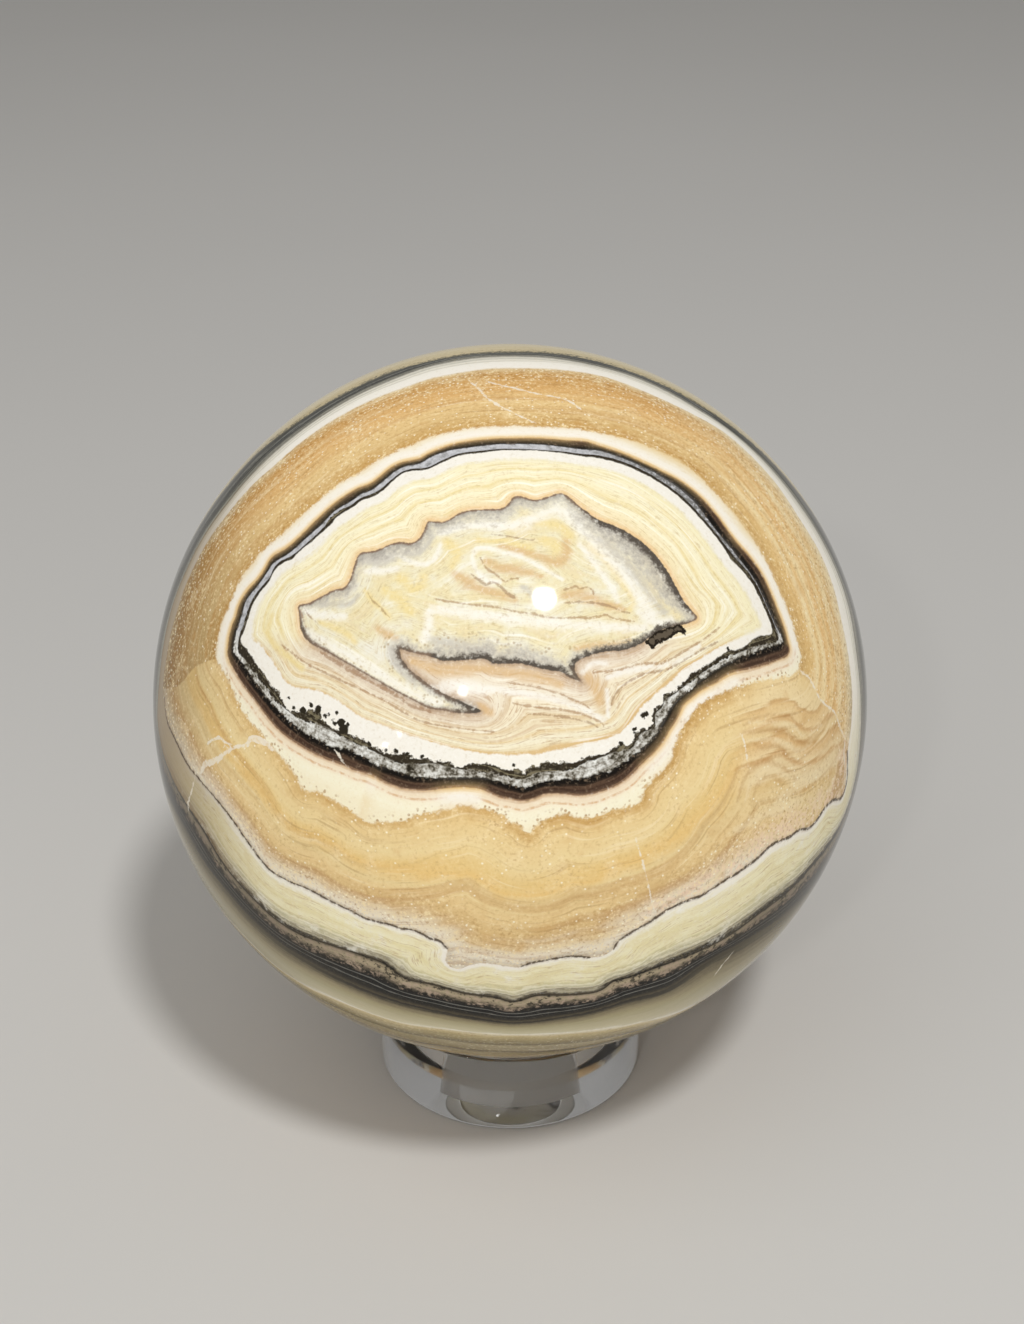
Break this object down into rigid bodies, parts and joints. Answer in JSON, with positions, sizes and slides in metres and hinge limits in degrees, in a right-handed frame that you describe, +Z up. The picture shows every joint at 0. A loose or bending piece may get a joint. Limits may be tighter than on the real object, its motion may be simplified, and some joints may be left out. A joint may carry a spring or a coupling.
{
  "type": "banded onyx sphere",
  "caption": "Polished sphere of banded onyx resting on a short, thick-walled clear ring stand.",
  "frame": {"origin": "centre of the ring stand's base, on the surface that it stands on", "axes": "+Z up through the ring's axis and the sphere's centre; the face of the stone with the eye-shaped bands looks towards -Y and a little up; +X is to the right seen from there"},
  "size_m": [0.1, 0.1, 0.1115],
  "materials": {
    "banded_onyx": "polished",
    "clear_acrylic": "clear, polished"
  },
  "bodies": {
    "root": {"onyx_sphere": "banded_onyx", "ring_stand": "clear_acrylic"}
  },
  "joints": []
}
